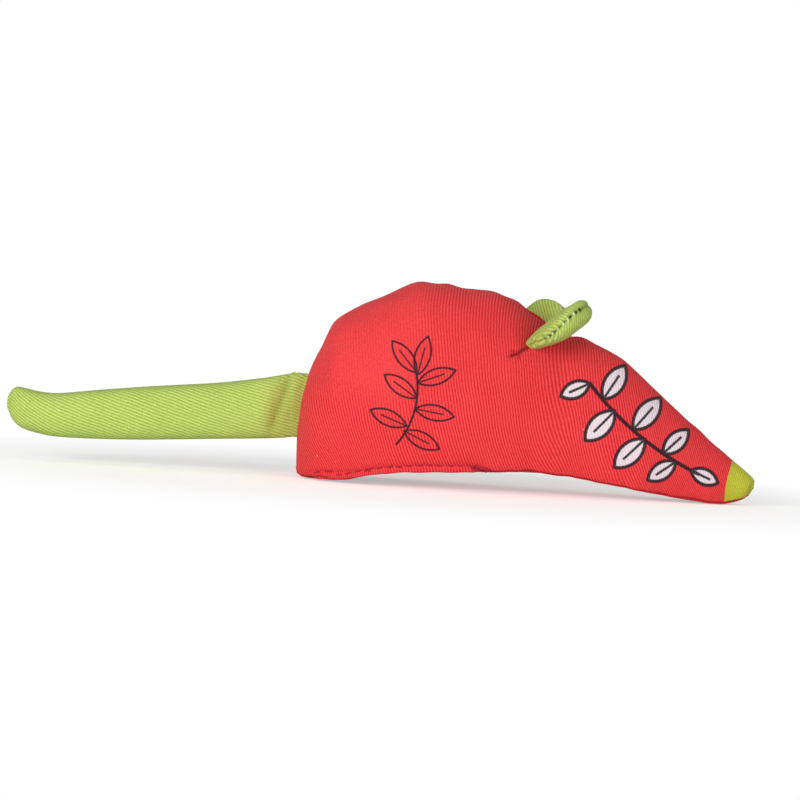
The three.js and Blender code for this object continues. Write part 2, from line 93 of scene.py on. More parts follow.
def box_of(node):
    """The lowest and highest corners of a CAD piece."""
    return [np.array(corner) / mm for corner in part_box(node)]


low, high = box_of("side_panel_right")
body_length = high[0] - low[0]
rump_setback = -low[0]
body_width = -2 * low[1]
body_height = high[2] / station_shares[:, 1].max()
twill = 0.9
thread_gap = 0.12

# The right base seam was closed by hand: the two folded edges lie on each other there, and
# the stitches run through them a little above the folds.
closing_shares = [0.035, 0.424]
closing_start, closing_end = (share * body_length - rump_setback for share in closing_shares)
lip_height = 2.3
fold_radius = twill + 0.05
lip_thickness = 4 * fold_radius + 0.15


def through(table, at):
    """The smooth curve through a table's rows, at places counted in rows."""
    rows = np.vstack([2 * table[0] - table[1], table, 2 * table[-1] - table[-2]])
    at = np.asarray(at, float)
    start = np.clip(np.floor(at).astype(int), 0, len(table) - 2)
    t = (at - start)[..., None]
    a, b, c, d = (rows[start + k] for k in range(4))
    bend = (2 * a - 5 * b + 4 * c - d) * t ** 2 + (3 * b - a - 3 * c + d) * t ** 3
    return (2 * b + (c - a) * t + bend) / 2


def unit(vectors):
    return vectors / np.maximum(np.linalg.norm(vectors, axis=-1, keepdims=True), 1e-9)


def smooth(t):
    t = np.clip(t, 0, 1)
    return t * t * (3 - 2 * t)


def joined(*parts):
    """Points or rows from their numbers, each of them one value or a grid of values."""
    return np.stack(np.broadcast_arrays(*parts), axis=-1)


def bell(away, width):
    return np.exp(-(away / width) ** 2)


def distances(line):
    return np.r_[0, np.cumsum(np.linalg.norm(np.diff(line, axis=0), axis=1))]


def along_line(line, places, run=None):
    """Points on a line at distances from its start, or at places along another run."""
    run = distances(line) if run is None else run
    return joined(*(np.interp(places, run, line[:, k]) for k in range(3)))


def closed_by_hand(x):
    """1 along the closing of the right base seam, and 0 past its ends."""
    return smooth((x - closing_start + 4.5) / 8) * smooth((closing_end - x) / 6)


def section(station, by_hand=0):
    """The right half of the body at a station: over the side, and under the belly."""
    (back_x, back_z, base_x, base_z, seam_z,
     widest, width, seam_width, square) = through(station_shares, station)
    foot = np.array([base_x * body_length - rump_setback, 0, base_z * body_height])
    up = np.array([back_x * body_length - rump_setback, 0, back_z * body_height]) - foot
    height = np.linalg.norm(up)
    up = up / height
    pinch = by_hand * closed_by_hand(foot[0])
    flank_y = width * body_width / 2
    seam_y = flank_y * seam_width
    seam_h = (seam_z - base_z) * body_height / up[2]
    flank_h = seam_h + (height - seam_h) * widest
    edge_h = seam_h + pinch * fold_radius
    turn = np.linspace(0, math.pi / 2, 48)
    flank = np.c_[
        seam_y + (flank_y - seam_y) * np.sin(turn) ** (1 + pinch),
        flank_h + (edge_h - flank_h) * np.cos(turn)]
    back = np.c_[
        flank_y * np.abs(np.cos(turn)) ** (2 / square),
        flank_h + (height - flank_h) * np.sin(turn) ** (2 / square)]
    # Where it was closed by hand, the belly climbs to its own fold, behind the side's.
    share = np.linspace(0, 1, 40)
    inner_y = seam_y - pinch * lip_thickness
    rise = pinch * lip_height * smooth((share - 0.6) / 0.38)
    wall = seam_h + pinch * np.linspace(lip_height, fold_radius, 8)[1:]
    belly = np.vstack([
        np.c_[inner_y * share, seam_h * share ** 3 + rise], np.c_[np.full(7, inner_y), wall]])

    def placed(half):
        points = foot + up * half[:, 1:]
        points[:, 1] = -half[:, 0]
        points[:, 2] = np.maximum(points[:, 2], 0)
        return points
    return placed(np.vstack([flank, back[1:]])), placed(belly)


# The rings of the panels' meshes lie evenly along the middle of the flank.
grid_step = 0.6
fine = np.linspace(0, last_station, 900)
fine_lines = [section(s)[0] for s in fine]
mid_flank = np.array([along_line(line, [0.3 * distances(line)[-1]])[0] for line in fine_lines])
flank_run = distances(mid_flank)
ring_count = int(flank_run[-1] / grid_step)
ring_run = np.linspace(0, flank_run[-1], ring_count)
stations = np.interp(ring_run, flank_run, fine)
side_lines, belly_lines = zip(*(section(s, 1) for s in stations))
plain_side_lines, plain_belly_lines = zip(*(section(s) for s in stations))
mirror = np.array([1, -1, 1])
section_middles = np.array([
    (side[-1] + belly[0]) / 2 for side, belly in zip(side_lines, belly_lines)])

# What the turned-in hems point at: the middle of the stuffing, not the flat rump face.
rump_depth, rump_middle = 6.0, 14
core = np.maximum(section_middles, np.array([rump_depth, 0, 0]))
core[:, 2] = np.maximum(core[:, 2], rump_middle * (section_middles[:, 0] < rump_depth))


def seam(line, gap, pinch=0.0):
    """A seam: its line, the ways up and into the body from it, its gap and its pinch."""
    along = unit(np.gradient(line, axis=0))
    inward = core - line
    inward = unit(inward - along * np.sum(inward * along, axis=1, keepdims=True))
    up = unit(np.array([0, 0, 1]) - along * along[:, 2:])
    level_in = np.cross(along, up)
    level_in = level_in * np.where(np.sum(level_in * inward, axis=1, keepdims=True) < 0, -1, 1)
    return {
        "line": line, "in": inward, "up": up, "level_in": level_in, "gap": gap, "pinch": pinch}


def lumps(points, wavelength, seed):
    """The uneven swelling of hand-stuffed cloth, from -1 to 1."""
    draw = np.random.default_rng(seed)
    total = np.zeros(points.shape[:-1])
    for _ in range(7):
        way = unit(draw.normal(size=3)) * 2 * math.pi / (wavelength * draw.uniform(0.7, 1.5))
        total += np.sin(points @ way + draw.uniform(0, 2 * math.pi))
    return total / 3.2


def normals_of(grid):
    return unit(np.cross(np.gradient(grid, axis=0), np.gradient(grid, axis=1)))


# The seams, and how deep the rows of their turned-in hems lie. The back seam parts round
# the tail, which is sewn in there.
roll = 1.3
hem_depths = np.array([0.5, 1.0, 1.6, 2.2, 2.8, 3.4, 3.8])
between_hems = slice(len(hem_depths), -len(hem_depths))
side_ends = np.array([line[0] for line in side_lines])
back_ends = np.array([line[-1] for line in side_lines])
seam_x = side_ends[:, 0]
tail_low, tail_high = box_of("tail_root")
near_tail = smooth((back_ends[:, 2] - tail_low[2] + 1.3) / 2.4)
near_tail *= smooth((tail_high[2] + 2.2 - back_ends[:, 2]) / 2.4) * (back_ends[:, 0] < 0)
closing = closed_by_hand(np.array([[line[0][0]] for line in belly_lines]))
right_base_seam = seam(side_ends, thread_gap, closing)
left_base_seam = seam(np.array([line[0] for line in plain_side_lines]) * mirror, thread_gap)
back_seam = seam(back_ends, thread_gap / 2 + near_tail[:, None] * (twill + 0.1))


def hem_rows(edge, radius, across, folded_side):
    """The rows of cloth past a seam: turned in, or folded up where it was closed by hand."""
    fit = np.minimum(1, radius / roll)
    path = [(fold_radius * (1 - math.cos(t)), -fold_radius * math.sin(t))
            for t in np.radians([36, 72, 108, 144, 180])]
    path += [(2 * fold_radius, 0.7), (2 * fold_radius, 1.3)]
    rows = []
    for depth, (inside, up) in zip(hem_depths, path):
        turned = edge["line"] + edge["in"] * (radius + depth * fit) + across * edge["gap"]
        if folded_side < 0:
            inside = lip_thickness - inside
        folded = edge["line"] + edge["up"] * up + edge["level_in"] * inside
        row = turned + (folded - turned) * edge["pinch"]
        row[:, 2] = np.maximum(row[:, 2], thread_gap)
        rows.append(row)
    return rows


def panel(lines, first, last, columns, first_side=1):
    """A panel's grid of points from its first seam to its last one, with its hems."""
    lengths = np.array([[distances(line)[-1]] for line in lines])
    radius = np.minimum(roll, 0.10 * lengths)
    turns = np.radians([0, 18, 36, 54, 72, 90])
    rolled = radius * (1 - np.cos(turns))
    between = radius + (lengths - 2 * radius) * np.linspace(0, 1, columns + 2)[1:-1]
    places = np.hstack([rolled, between, (lengths - rolled)[:, ::-1]])
    grid = np.array([along_line(line, at) for line, at in zip(lines, places)])
    dip = radius * (1 - np.sin(turns))
    faces = (grid, grid[:, ::-1])
    ways = [unit(face[:, len(turns)] - face[:, 0]) for face in faces]
    hems = []
    for edge, side, face, way, from_edge in (
            (first, first_side, faces[0], ways[0], places),
            (last, 1, faces[1], ways[1], (lengths - places)[:, ::-1])):
        across = unit(way - edge["in"] * np.sum(way * edge["in"], axis=1, keepdims=True))
        free = 1 - edge["pinch"]
        face[:, :len(turns)] += edge["in"][:, None] * (dip * free)[..., None]
        parted = edge["gap"] * free * np.exp(-from_edge / 2)
        face += across[:, None] * parted[..., None]
        hems.append(np.stack(hem_rows(edge, radius, across, side), 1))
    grid = np.concatenate([hems[0][:, ::-1], grid, hems[1]], axis=1)
    places = np.hstack([0 * lengths - hem_depths[::-1], places, lengths + hem_depths])
    return {"grid": grid, "places": places, "lengths": lengths}


def swell(cut, first, last):
    """Pushes a panel's cloth out and in as stuffing, seams and stitches do."""
    grid, places, lengths = cut["grid"], cut["places"], cut["lengths"]
    out = normals_of(grid) * (1 if grid[len(grid) // 2, grid.shape[1] // 2, 1] < -1 else -1)
    near_first = np.exp(-np.maximum(places, 0) / 2.5) * (1 - first["pinch"])
    near_last = np.exp(-np.maximum(lengths - places, 0) / 2.5)
    for near, edge in ((near_first, first), (near_last, last)):
        out = unit(out * (1 - near)[..., None] - edge["in"][:, None] * near[..., None])
    fit = np.clip(lengths / 40, 0, 1)
    base = grid * np.array([1, 0.6, 1])
    push = 0.34 * lumps(base, 26, 3) + 0.16 * lumps(base, 10, 5)
    run = ring_run[:, None]
    along_seam = joined(run + 0 * places, 0, 0)
    for near, seed in ((near_first, 11), (near_last, 12)):
        push += 0.30 * near ** 0.7 * lumps(along_seam, 6.5, seed) - 0.12 * near ** 2
    push = push * fit
    stitched = bell(places - lip_height + fold_radius, 0.8)
    gathers = 0.42 + 0.16 * np.sin(run * 2 * math.pi / 3.4)
    push -= first["pinch"] * gathers * stitched * (places > -0.1)
    grid = grid + out * push[..., None]
    grid[..., 2] = np.maximum(grid[..., 2], 0)
    return grid


# Behind the ears the far panel stands a little above the near one at the back seam.
side_columns, base_columns = 138, 76
step_middle, step_length, step_depth = 56.0, 4.5, 4
left_side_lines = [line * mirror for line in plain_side_lines]
cuts, skins = {}, {}
for side, lines, base_seam, lift in (
        ("right", side_lines, right_base_seam, -0.35),
        ("left", left_side_lines, left_base_seam, 0.6)):
    cut = cuts[side] = panel(lines, base_seam, back_seam, side_columns)
    grid = skins[side] = swell(cut, base_seam, back_seam)
    from_back = (cut["lengths"] - cut["places"]) / step_depth
    from_middle = (grid[..., 0] - step_middle) / step_length
    grid[..., 2] += lift * np.exp(-from_middle ** 2 - from_back ** 2)


def closed_ends(grid, marks):
    """Adds small rounded ends to a panel's first and last rings."""
    turns = np.radians([25, 50, 70, 85])
    ends = []
    for ring, middle, way, bulge in (
            (grid[0], section_middles[0], -1, 0.15), (grid[-1], section_middles[-1], 1, 0.9)):
        ends.append([
            middle + (ring - middle) * math.cos(turn) + np.array([way * bulge * math.sin(turn), 0, 0])
            for turn in turns])
    grid = np.concatenate([ends[0][::-1], grid, ends[1]])
    added = ((len(turns), len(turns)), (0, 0), (0, 0))
    return grid, {key: np.pad(mark, added, "edge") for key, mark in marks.items()}


def linked(name, data):
    """A new object in the scene, of a mesh, a lamp or a camera."""
    made = bpy.data.objects.new(name, data)
    bpy.context.scene.collection.objects.link(made)
    return made


def smooth_mesh(name, points, faces, finish):
    """A piece with a smooth surface, from its points in millimetres and its faces."""
    mesh = bpy.data.meshes.new(name)
    mesh.from_pydata((np.asarray(points) * mm).tolist(), [], faces)
    mesh.validate()
    mesh.shade_smooth()
    mesh.materials.append(finish)
    return linked(name, mesh)


def cloth_sheet(name, grid, marks, thickness, flip, finish, nodes, slot, fill):
    """A closed sheet of cloth: its outer face, its inner face and its four edges."""
    rows, columns = grid.shape[:2]
    inner = grid - normals_of(grid) * (-thickness if flip else thickness)
    points = np.concatenate([grid.reshape(-1, 3), inner.reshape(-1, 3)])
    index = np.arange(rows * columns).reshape(rows, columns)
    a, b, c, d = index[:-1, :-1], index[1:, :-1], index[1:, 1:], index[:-1, 1:]
    quads = np.stack([a, b, c, d], axis=-1).reshape(-1, 4)
    border = np.concatenate([index[0, :-1], index[:-1, -1], index[-1, :0:-1], index[:0:-1, 0]])
    after = np.roll(border, -1)
    edge = np.stack([border, after, after + rows * columns, border + rows * columns], axis=-1)
    faces = np.concatenate([quads, quads[:, ::-1] + rows * columns, edge])
    if flip:
        faces = faces[:, ::-1]
    piece = smooth_mesh(name, points, faces.tolist(), finish)
    for key, values in marks.items():
        store = piece.data.attributes.new(key, "FLOAT_VECTOR", "POINT")
        both = np.concatenate([values.reshape(-1, 3)] * 2).astype(np.float32)
        store.data.foreach_set("vector", both.ravel())
    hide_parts(*nodes)
    return piece


class Wire:
    """A socket of a finish's shader. Sums of wires add the Math nodes that work them out."""

    def __init__(self, tree, socket=None):
        self.tree = tree
        self.socket = socket

    def node(self, kind, inputs={}, output=0, **settings):
        made = self.tree.nodes.new("ShaderNode" + kind)
        for key, value in settings.items():
            setattr(made, key, value)
        for key, value in inputs.items():
            if isinstance(value, Wire):
                self.tree.links.new(value.socket, made.inputs[key])
            else:
                made.inputs[key].default_value = value
        return Wire(self.tree, made.outputs[output] if made.outputs else None)

    def maths(self, operation, *others):
        return self.node("Math", dict(enumerate((self, *others))), operation=operation)

    __add__ = __radd__ = partialmethod(maths, "ADD")
    __sub__ = partialmethod(maths, "SUBTRACT")
    __mul__ = __rmul__ = partialmethod(maths, "MULTIPLY")
    __truediv__ = partialmethod(maths, "DIVIDE")
    __pow__ = partialmethod(maths, "POWER")
    __abs__ = partialmethod(maths, "ABSOLUTE")
    most = partialmethod(maths, "MAXIMUM")

    def __rsub__(self, other):
        return self.node("Math", {0: other, 1: self}, operation="SUBTRACT")

    def wave(self):
        """From 0 to 1 and back, once for each whole turn of the wire."""
        return 0.5 - 0.5 * (self * (2 * math.pi)).maths("COSINE")

    def held(self):
        """The wire kept from 0 to 1."""
        return self.node("Clamp", {"Value": self})

    def inside(self, soft):
        """1 where the wire is below 0, and 0 where it is above, with a soft edge."""
        return (0.5 - self / soft).held()

    def parts(self):
        """The three numbers of a vector."""
        apart = self.tree.nodes.new("ShaderNodeSeparateXYZ")
        self.tree.links.new(self.socket, apart.inputs[0])
        return [Wire(self.tree, output) for output in apart.outputs]

    def tint(self, first, second):
        """The first colour where the wire is 0, and the second where it is 1."""
        return self.node("Mix", {0: self, 6: first, 7: second}, 2, data_type="RGBA")

    def speckle(self, scale, detail=2.0, roughness=0.5):
        """Noise from 0 to 1 at the places that the wire gives."""
        inputs = {"Vector": self, "Scale": scale, "Detail": detail, "Roughness": roughness}
        return self.node("TexNoise", inputs)

    def stretched(self, x, y):
        return self.node("VectorMath", {0: self, 1: (x, y, 0)}, operation="MULTIPLY")


def paint(red, green, blue):
    """A colour as a shader takes it, from its 0 to 255 values on the screen."""
    def linear(value):
        share = value / 255
        return share / 12.92 if share <= 0.04045 else ((share + 0.055) / 1.055) ** 2.4
    return (linear(red), linear(green), linear(blue), 1.0)


def bare_shader(owner):
    """Clears a finish or the world of nodes, and gives the wire that its shader starts from."""
    owner.use_nodes = True
    owner.node_tree.nodes.clear()
    return Wire(owner.node_tree)


def rough_surface(start, colour, height, depth, strength, roughness, shine, sheen=0.0):
    """The end of a finish's shader: its colour, the bump of its fibres, and its gloss."""
    bump = start.node("Bump", {"Height": height, "Distance": depth, "Strength": strength})
    skin = start.node("BsdfPrincipled", {
        "Base Color": colour, "Roughness": roughness, "Normal": bump,
        "Sheen Weight": sheen, "Specular IOR Level": shine})
    start.node("OutputMaterial", {"Surface": skin})


rib_pitch = 0.96
lint_white = paint(250, 226, 222)
# Painted shade for needle holes and the deepest line of the dart, where there is only shade.
painted_hole_shade = paint(46, 22, 20)


def twill_finish(name, ridge, groove, fleck_and_shade, pitch=rib_pitch, inks=None):
    """Ribbed cotton twill: raised ribs of slanting floats, with darker grooves and lint, and painted shade
    in its creases, seams and needle holes.
    """
    finish = bpy.data.materials.new(name)
    start = bare_shader(finish)
    weave = start.node("Attribute", output="Vector", attribute_name="weave")
    # This attribute holds painted shade in creases and seams, how calm the ribs are, and painted shade in
    # needle holes.
    crease_shade, calm, hole_shade = start.node("Attribute", output="Vector", attribute_name="wear").parts()
    across, along, _ = weave.parts()
    bend = weave.stretched(0.12, 0.12).speckle(1.0, 2.0) - 0.5
    yarn = weave.stretched(0.35, 1.1).speckle(1.0, 3.0, 0.65)
    rib = (across / pitch + bend * 0.7 + yarn * 0.25).wave()
    floats = (along / (0.78 * pitch) + across / pitch * 0.5 + yarn * 0.8).wave()
    ridge_mask = (rib * (0.72 + 0.28 * floats)) ** 0.8
    # Where calm, the ribs' bump is lowered, and their colour is painted flatter to stand in for light that
    # runs along them.
    ridge_mask = ridge_mask * (1 - calm) + calm * (0.45 + 0.25 * floats)
    grain = weave.stretched(1.0, 0.45).speckle(2.2, 3.0, 0.6)
    cloudy = weave.stretched(0.05, 0.05).speckle(1.0, 3.0)
    shade = (ridge_mask * 1.05 + (grain - 0.5) * 1.1 + (cloudy - 0.5) * 0.35 - 0.02).held()
    # Painted shade: the cloth is darkened in creases and seams.
    shade = shade * (1 - 0.55 * crease_shade)
    colour = shade.tint(groove, ridge)
    dark = ((weave.stretched(0.9, 0.35).speckle(1.6, 2.0, 0.7) - 0.62) * 9).held()
    # The fleck colour serves both the real dark flecks of the yarn and the painted shade in creases.
    colour = (dark * 0.55).most(crease_shade * 0.75).tint(colour, fleck_and_shade)
    lint, cell = (
        start.node("TexVoronoi", {"Vector": weave, "Scale": 0.16}, output, feature="F1")
        for output in ("Distance", "Color"))
    chosen = cell.parts()[0].maths("GREATER_THAN", 0.8)
    speck = (lint - 0.035).inside(0.02) * chosen
    colour = (speck * 0.6).tint(colour, lint_white)
    if inks:
        colour = inks(start, weave, shade, colour)
    # Painted shade in needle holes and along the dart.
    colour = hole_shade.held().tint(colour, painted_hole_shade)
    height = ridge_mask * 0.8 + grain * 0.35 + yarn * 0.2
    rough_surface(start, colour, height, 0.00028, 0.6, 0.93, 0.12, sheen=0.05)
    return finish


black_ink = paint(36, 31, 39)
white_ink = paint(236, 230, 236)
lime_ink = paint(190, 200, 62)


def sprig_print(start, weave, shade, cloth):
    """The print on each side: two leaf sprigs, one with pale leaves, and a plain nose tip."""
    x, _, z = start.node("Attribute", output="Vector", attribute_name="view").parts()
    ragged = (weave.speckle(1.3, 2.0) - 0.5) * 0.30
    soft = 0.28
    nose_start = 119.0

    def away(place):
        return ((x - place[0]) ** 2 + (z - place[1]) ** 2) ** 0.5 + ragged

    def arc(centre, radius, width, first, last):
        ring = abs(away(centre) - radius) - width / 2
        for angle, sign in ((first, -1), (last, 1)):
            turn = math.radians(angle)
            aside = (z - centre[1]) * math.cos(turn) - (x - centre[0]) * math.sin(turn)
            ring = ring.most(aside * sign)
        return ring.inside(soft)

    def leaf(foot, angle, length, width, line):
        """A pointed leaf: its blade, and its outline with the middle rib."""
        turn = math.radians(angle)
        way = np.array([math.cos(turn), math.sin(turn)])
        side = np.array([-way[1], way[0]])
        middle = np.array(foot) + way * length / 2
        radius = (length ** 2 / 4 + width ** 2 / 4) / width
        offset = radius - width / 2
        edges = [away(middle + side * offset * s) - radius for s in (-1, 1)]
        blade = edges[0].most(edges[1])
        rim = (abs(blade) - line / 2).inside(soft)
        aside = (x - foot[0]) * side[0] + (z - foot[1]) * side[1] + ragged
        reach = (x - foot[0]) * way[0] + (z - foot[1]) * way[1]
        rib = (abs(aside) - line / 2.6).most(reach - length * 0.72).most(-1 * reach)
        return blade.inside(soft), rim.most(rib.inside(soft))

    black = arc((-8.0, 30.0), 27.0, 0.7, -38, 15)
    for foot, angle in (
            ((18.6, 35.8), 78), ((18.9, 33.4), 22), ((18.4, 36.6), 132), ((18.6, 25.2), -8),
            ((18.9, 28.6), 148), ((15.6, 18.0), -24), ((16.3, 19.6), 160)):
        black = black.most(leaf(foot, angle, 12.5, 4.8, 0.62)[1])
    black = black.most(arc((149.4, 101.3), 100.0, 1.2, 220.4, 247))
    white = None
    for foot, angle, length in (
            ((78.0, 31.6), 58, 12.5), ((88.2, 22.6), 50, 13.0), ((98.2, 15.4), 44, 11.0),
            ((73.4, 36.2), 206, 10.0), ((81.8, 28.0), 228, 13.0), ((92.0, 19.6), 226, 13.0),
            ((102.4, 12.9), 216, 10.5), ((107.6, 10.4), -22, 9.5)):
        blade, lines = leaf(foot, angle, length, length * 0.5, 1.1)
        black = black.most(lines)
        white = blade if white is None else white.most(blade)
    nose = (nose_start - x + ((z - 3).most(0) ** 2) * 0.017 + ragged).inside(soft)
    toned = 0.86 + 0.14 * shade
    cloth = (white * 0.96 * toned).tint(cloth, white_ink)
    cloth = (nose * toned).tint(cloth, lime_ink)
    return (black * (0.92 + 0.08 * shade)).tint(cloth, black_ink)


red_ridge = paint(246, 82, 83)
red_groove = paint(213, 31, 40)
red_fleck_and_shade = paint(168, 26, 36)
red_printed = twill_finish("printed_red_twill", red_ridge, red_groove, red_fleck_and_shade, inks=sprig_print)
red_plain = twill_finish("plain_red_twill", red_ridge, red_groove, red_fleck_and_shade)


# Behind this line the ribs fan round the rump, and in front of it they follow the rings.
rump_turn = 14.0
rump_ring = int(np.argmin(np.abs(seam_x[:ring_count // 2] - rump_turn)))


def side_weave(cut):
    """Across the ribs and along them, in millimetres, for each point of a side panel."""
    up = np.clip(cut["places"] / cut["lengths"], 0, 1)
    forward = cut["grid"][..., 0]
    from_back = cut["lengths"] * (1 - up)

    # How far the ribs lean forward: near the belly, near the back seam, down the whole side,
    # under the head, and below the ear.
    lean = 8.5 * np.clip(1 - up / 0.5, 0, 1) ** 2.0 * (1 - 0.4 * smooth((forward - 60) / 25))
    lean += 1.2 * np.clip((up - 0.6) / 0.4, 0, 1) ** 2
    lean += 0.046 * cut["lengths"] * (1 - smooth((up - 0.28) / 0.5))
    lean += 6.0 * (1 - up) * smooth((forward - 72) / 25)
    lean += 3.9 * (1 - np.exp(-from_back / 13)) * smooth((forward - 56) / 14)
    across = ring_run[:, None] - lean
    x, y, z = np.moveaxis(cut["grid"], -1, 0)
    level_line = cut["grid"][rump_ring, between_hems]
    wide = np.interp(z, level_line[:, 2], np.abs(level_line[:, 1]))
    level_lean = np.interp(z, level_line[:, 2], lean[rump_ring, between_hems])
    low_down = np.maximum(30 - z, 0)
    round_rump = x - rump_turn - 0.2 * np.maximum(wide - np.abs(y), 0) - level_lean
    round_rump -= 0.0080 * low_down ** 2 * smooth((rump_turn - x) / 24)
    weight = smooth((x - 4.0) / 12)
    across = across * weight + (ring_run[rump_ring] + round_rump) * (1 - weight)
    return joined(across, cut["places"], 0)


def seam_crease_shade(cut):
    """How much painted shade each point of a panel takes in the crease of a seam."""
    edge = np.minimum(np.abs(cut["places"]), np.abs(cut["lengths"] - cut["places"]))
    return 0.55 * bell(edge, 0.7)


# Where the ears go through the sides: each ear's bending line, and the way it rises.
ear_lean = math.radians(35)
left_ear_back = math.radians(34)
joints = {joint["name"]: joint for joint in frame["joints"]}


def ear_frame(side, turned_back):
    """An ear's bending line, the ways along it, up the ear and to its back, and its size."""
    joint = joints[f"ear_{side}_flap"]
    hinge = np.array(joint["pos_m"]) / mm
    chord = unit(np.array(joint["axis"]))
    rise = np.array([math.cos(ear_lean), 0, math.sin(ear_lean)])
    rise = unit(rise - chord * (rise @ chord))
    back = np.cross(chord, rise)
    up = rise * math.cos(turned_back) + back * math.sin(turned_back)
    points = [np.array([v.co for v in frame["nodes"][f"ear_{side}_{face}"].data.vertices]) / mm
              for face in ("front", "back")]
    points = np.concatenate(points) - hinge
    return {
        "hinge": hinge, "chord": chord, "root_way": rise, "rise": up, "back": np.cross(chord, up),
        "half": np.abs(points @ chord).max(), "length": (points @ up).max()}


ears = {"right": ear_frame("right", 0.0), "left": ear_frame("left", left_ear_back)}


def on_side(grid, x, z):
    """The point of a side panel's skin at a place seen from the side."""
    skin = grid[:, between_hems]
    away = np.hypot(skin[..., 0] - x, skin[..., 2] - z)
    return skin.reshape(-1, 3)[np.argmin(away)]


def away_from(grid, start, end, ways=(0, 1, 2)):
    """How far each point of a grid lies from a line between two points, along some axes."""
    way = end - start
    share = np.clip((grid - start) @ way / (way @ way), 0, 1)
    return np.linalg.norm((grid - (start + share[..., None] * way))[..., ways], axis=-1)


# The puckers behind the right ear's slit, as places seen from the side: the dart that runs
# back from the slit, and the small wrinkles at its end.
dart = [(53.6, 46.9), (52.6, 46.2), (51.5, 45.6), (50.3, 45.2), (49.7, 44.5), (48.4, 43.9)]
wrinkles = [
    [(49.4, 44.9), (48.6, 45.5), (48.1, 45.2)], [(48.6, 43.8), (47.7, 43.3), (47.0, 43.4)],
    [(51.4, 44.9), (50.8, 44.0), (50.5, 43.1)]]
for side, cut in cuts.items():
    grid, ear, flip = skins[side], ears[side], side == "left"
    wear = seam_crease_shade(cut)
    hole_shade = 0 * wear
    half_root = ear["chord"] * ear["half"] * 0.74
    root = ear["hinge"] - ear["root_way"] * 2.4
    # Each fold is a line, how deep and how wide it is, and how dark the painted shade in its crease is.
    folds = [([root - half_root, root + half_root], 1.2, 2.0, 0.5)]
    if side == "right":
        folds.append(([on_side(grid, *place) for place in dart], 1.0, 0.8, 1.0))
        folds += [([on_side(grid, *place) for place in line], 0.5, 0.6, 0.6) for line in wrinkles]
    inward = normals_of(grid) * (1 if flip else -1)
    sunk = 0 * wear
    for line, depth, width, dark in folds:
        away = np.min([away_from(grid, a, b) for a, b in zip(line[:-1], line[1:])], axis=0)
        sunk = np.maximum(sunk, depth * bell(away, width))
        # Painted shade darkens each fold's crease, deepest along the dart.
        wear = np.maximum(wear, dark * bell(away, 0.6 * width))
        hole_shade = np.maximum(hole_shade, (dark - 0.5) * 1.3 * bell(away, 0.38))
    grid = grid + inward * sunk[..., None]
    # Above and behind the haunch the ribs are calm: a lower bump, and colour painted flatter for light that
    # runs along them there.
    calm = 0.75 * smooth((30 - grid[..., 0]) / 18) * smooth((grid[..., 2] - 20) / 16)
    # Along the closing, painted shade darkens the line where the stitches pull the cloth in.
    if side == "right":
        stitched = bell(cut["places"] - lip_height + fold_radius, 0.4)
        wear = np.maximum(wear * (1 - closing), 0.3 * closing * stitched)
    skins[side] = grid
    marks = {"weave": side_weave(cut), "view": grid, "wear": joined(wear, calm, hole_shade)}
    piece = cloth_sheet(
        f"side_panel_{side}_cloth", *closed_ends(grid, marks), twill, flip, red_printed,
        [f"side_panel_{side}"], "red_twill", 0.85)
    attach(piece, "mouse_body")

# Base panel
# The gusset under the toy, cut from the same red twill without the print. It lies flat
# where the toy stands, and it rises with the belly between the rump and the chin.
base_lines = [
    np.vstack([right[::-1], (left * mirror)[1:]])
    for right, left in zip(belly_lines, plain_belly_lines)]
base_cut = panel(base_lines, right_base_seam, left_base_seam, base_columns, first_side=-1)
base_grid = swell(base_cut, right_base_seam, left_base_seam)
marks = {
    "weave": joined(ring_run[:, None], base_cut["places"], 0),
    "wear": joined(seam_crease_shade(base_cut), 0, 0)}
piece = cloth_sheet(
    "base_panel_cloth", *closed_ends(base_grid, marks), twill, True, red_plain,
    ["base_panel"], "red_twill", 0.8)
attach(piece, "mouse_body")

# Ears
# Each ear is two layers of lime twill, sewn together round the rim and turned, with only its
# hems inside. It narrows into a slit in the side panel and folds along that line.
lime_ridge = paint(202, 220, 121)
lime_groove = paint(157, 181, 75)
lime_fleck_and_shade = paint(118, 140, 46)
ear_finish = twill_finish("lime_twill_ear", lime_ridge, lime_groove, lime_fleck_and_shade, 0.9)
ear_columns = 60

# How much of its length each ear shows, how its ribs slant, and its shape at places up it:
# the places as shares of its length, how far its near and far edges stand out as shares of
# the half width, how far its front and back layers swell, and how far its edges curl back.
ear_places = [0, 0.14, 0.34, 0.54, 0.72, 0.86, 0.945, 0.985, 1]
even_swell = [1.9, 2.65, 3.1, 3.15, 2.9, 2.45, 1.9, 1.4, 0.5]
uncurled = [0] * len(ear_places)
ear_shapes = {
    "right": (0.87, math.radians(16), np.array([
        ear_places,
        [0.76, 0.88, 0.98, 1.00, 0.92, 0.73, 0.46, 0.22, 0.03],
        [0.76, 0.88, 0.97, 0.96, 0.86, 0.65, 0.43, 0.22, 0.04],
        [2.7, 3.0, 3.3, 3.5, 3.65, 3.55, 3.1, 2.4, 0.5],
        [2.0, 2.2, 2.95, 3.3, 3.1, 2.65, 2.3, 1.8, 0.5],
        [-0.7, -0.75, -0.9, -0.9, -0.38, 0.5, 1.12, 1.1, 1.08],
        [0, 0, 0, 0, 0.1, 0.45, 0.7, 0.95, 1.08]]).T),
    "left": (1.0, math.radians(-20), np.array([
        ear_places,
        [0.56, 0.62, 0.76, 0.84, 0.78, 0.58, 0.34, 0.15, 0.02],
        [0.76, 0.88, 0.98, 1.00, 0.92, 0.72, 0.46, 0.24, 0.04],
        even_swell, even_swell, uncurled, uncurled]).T)}


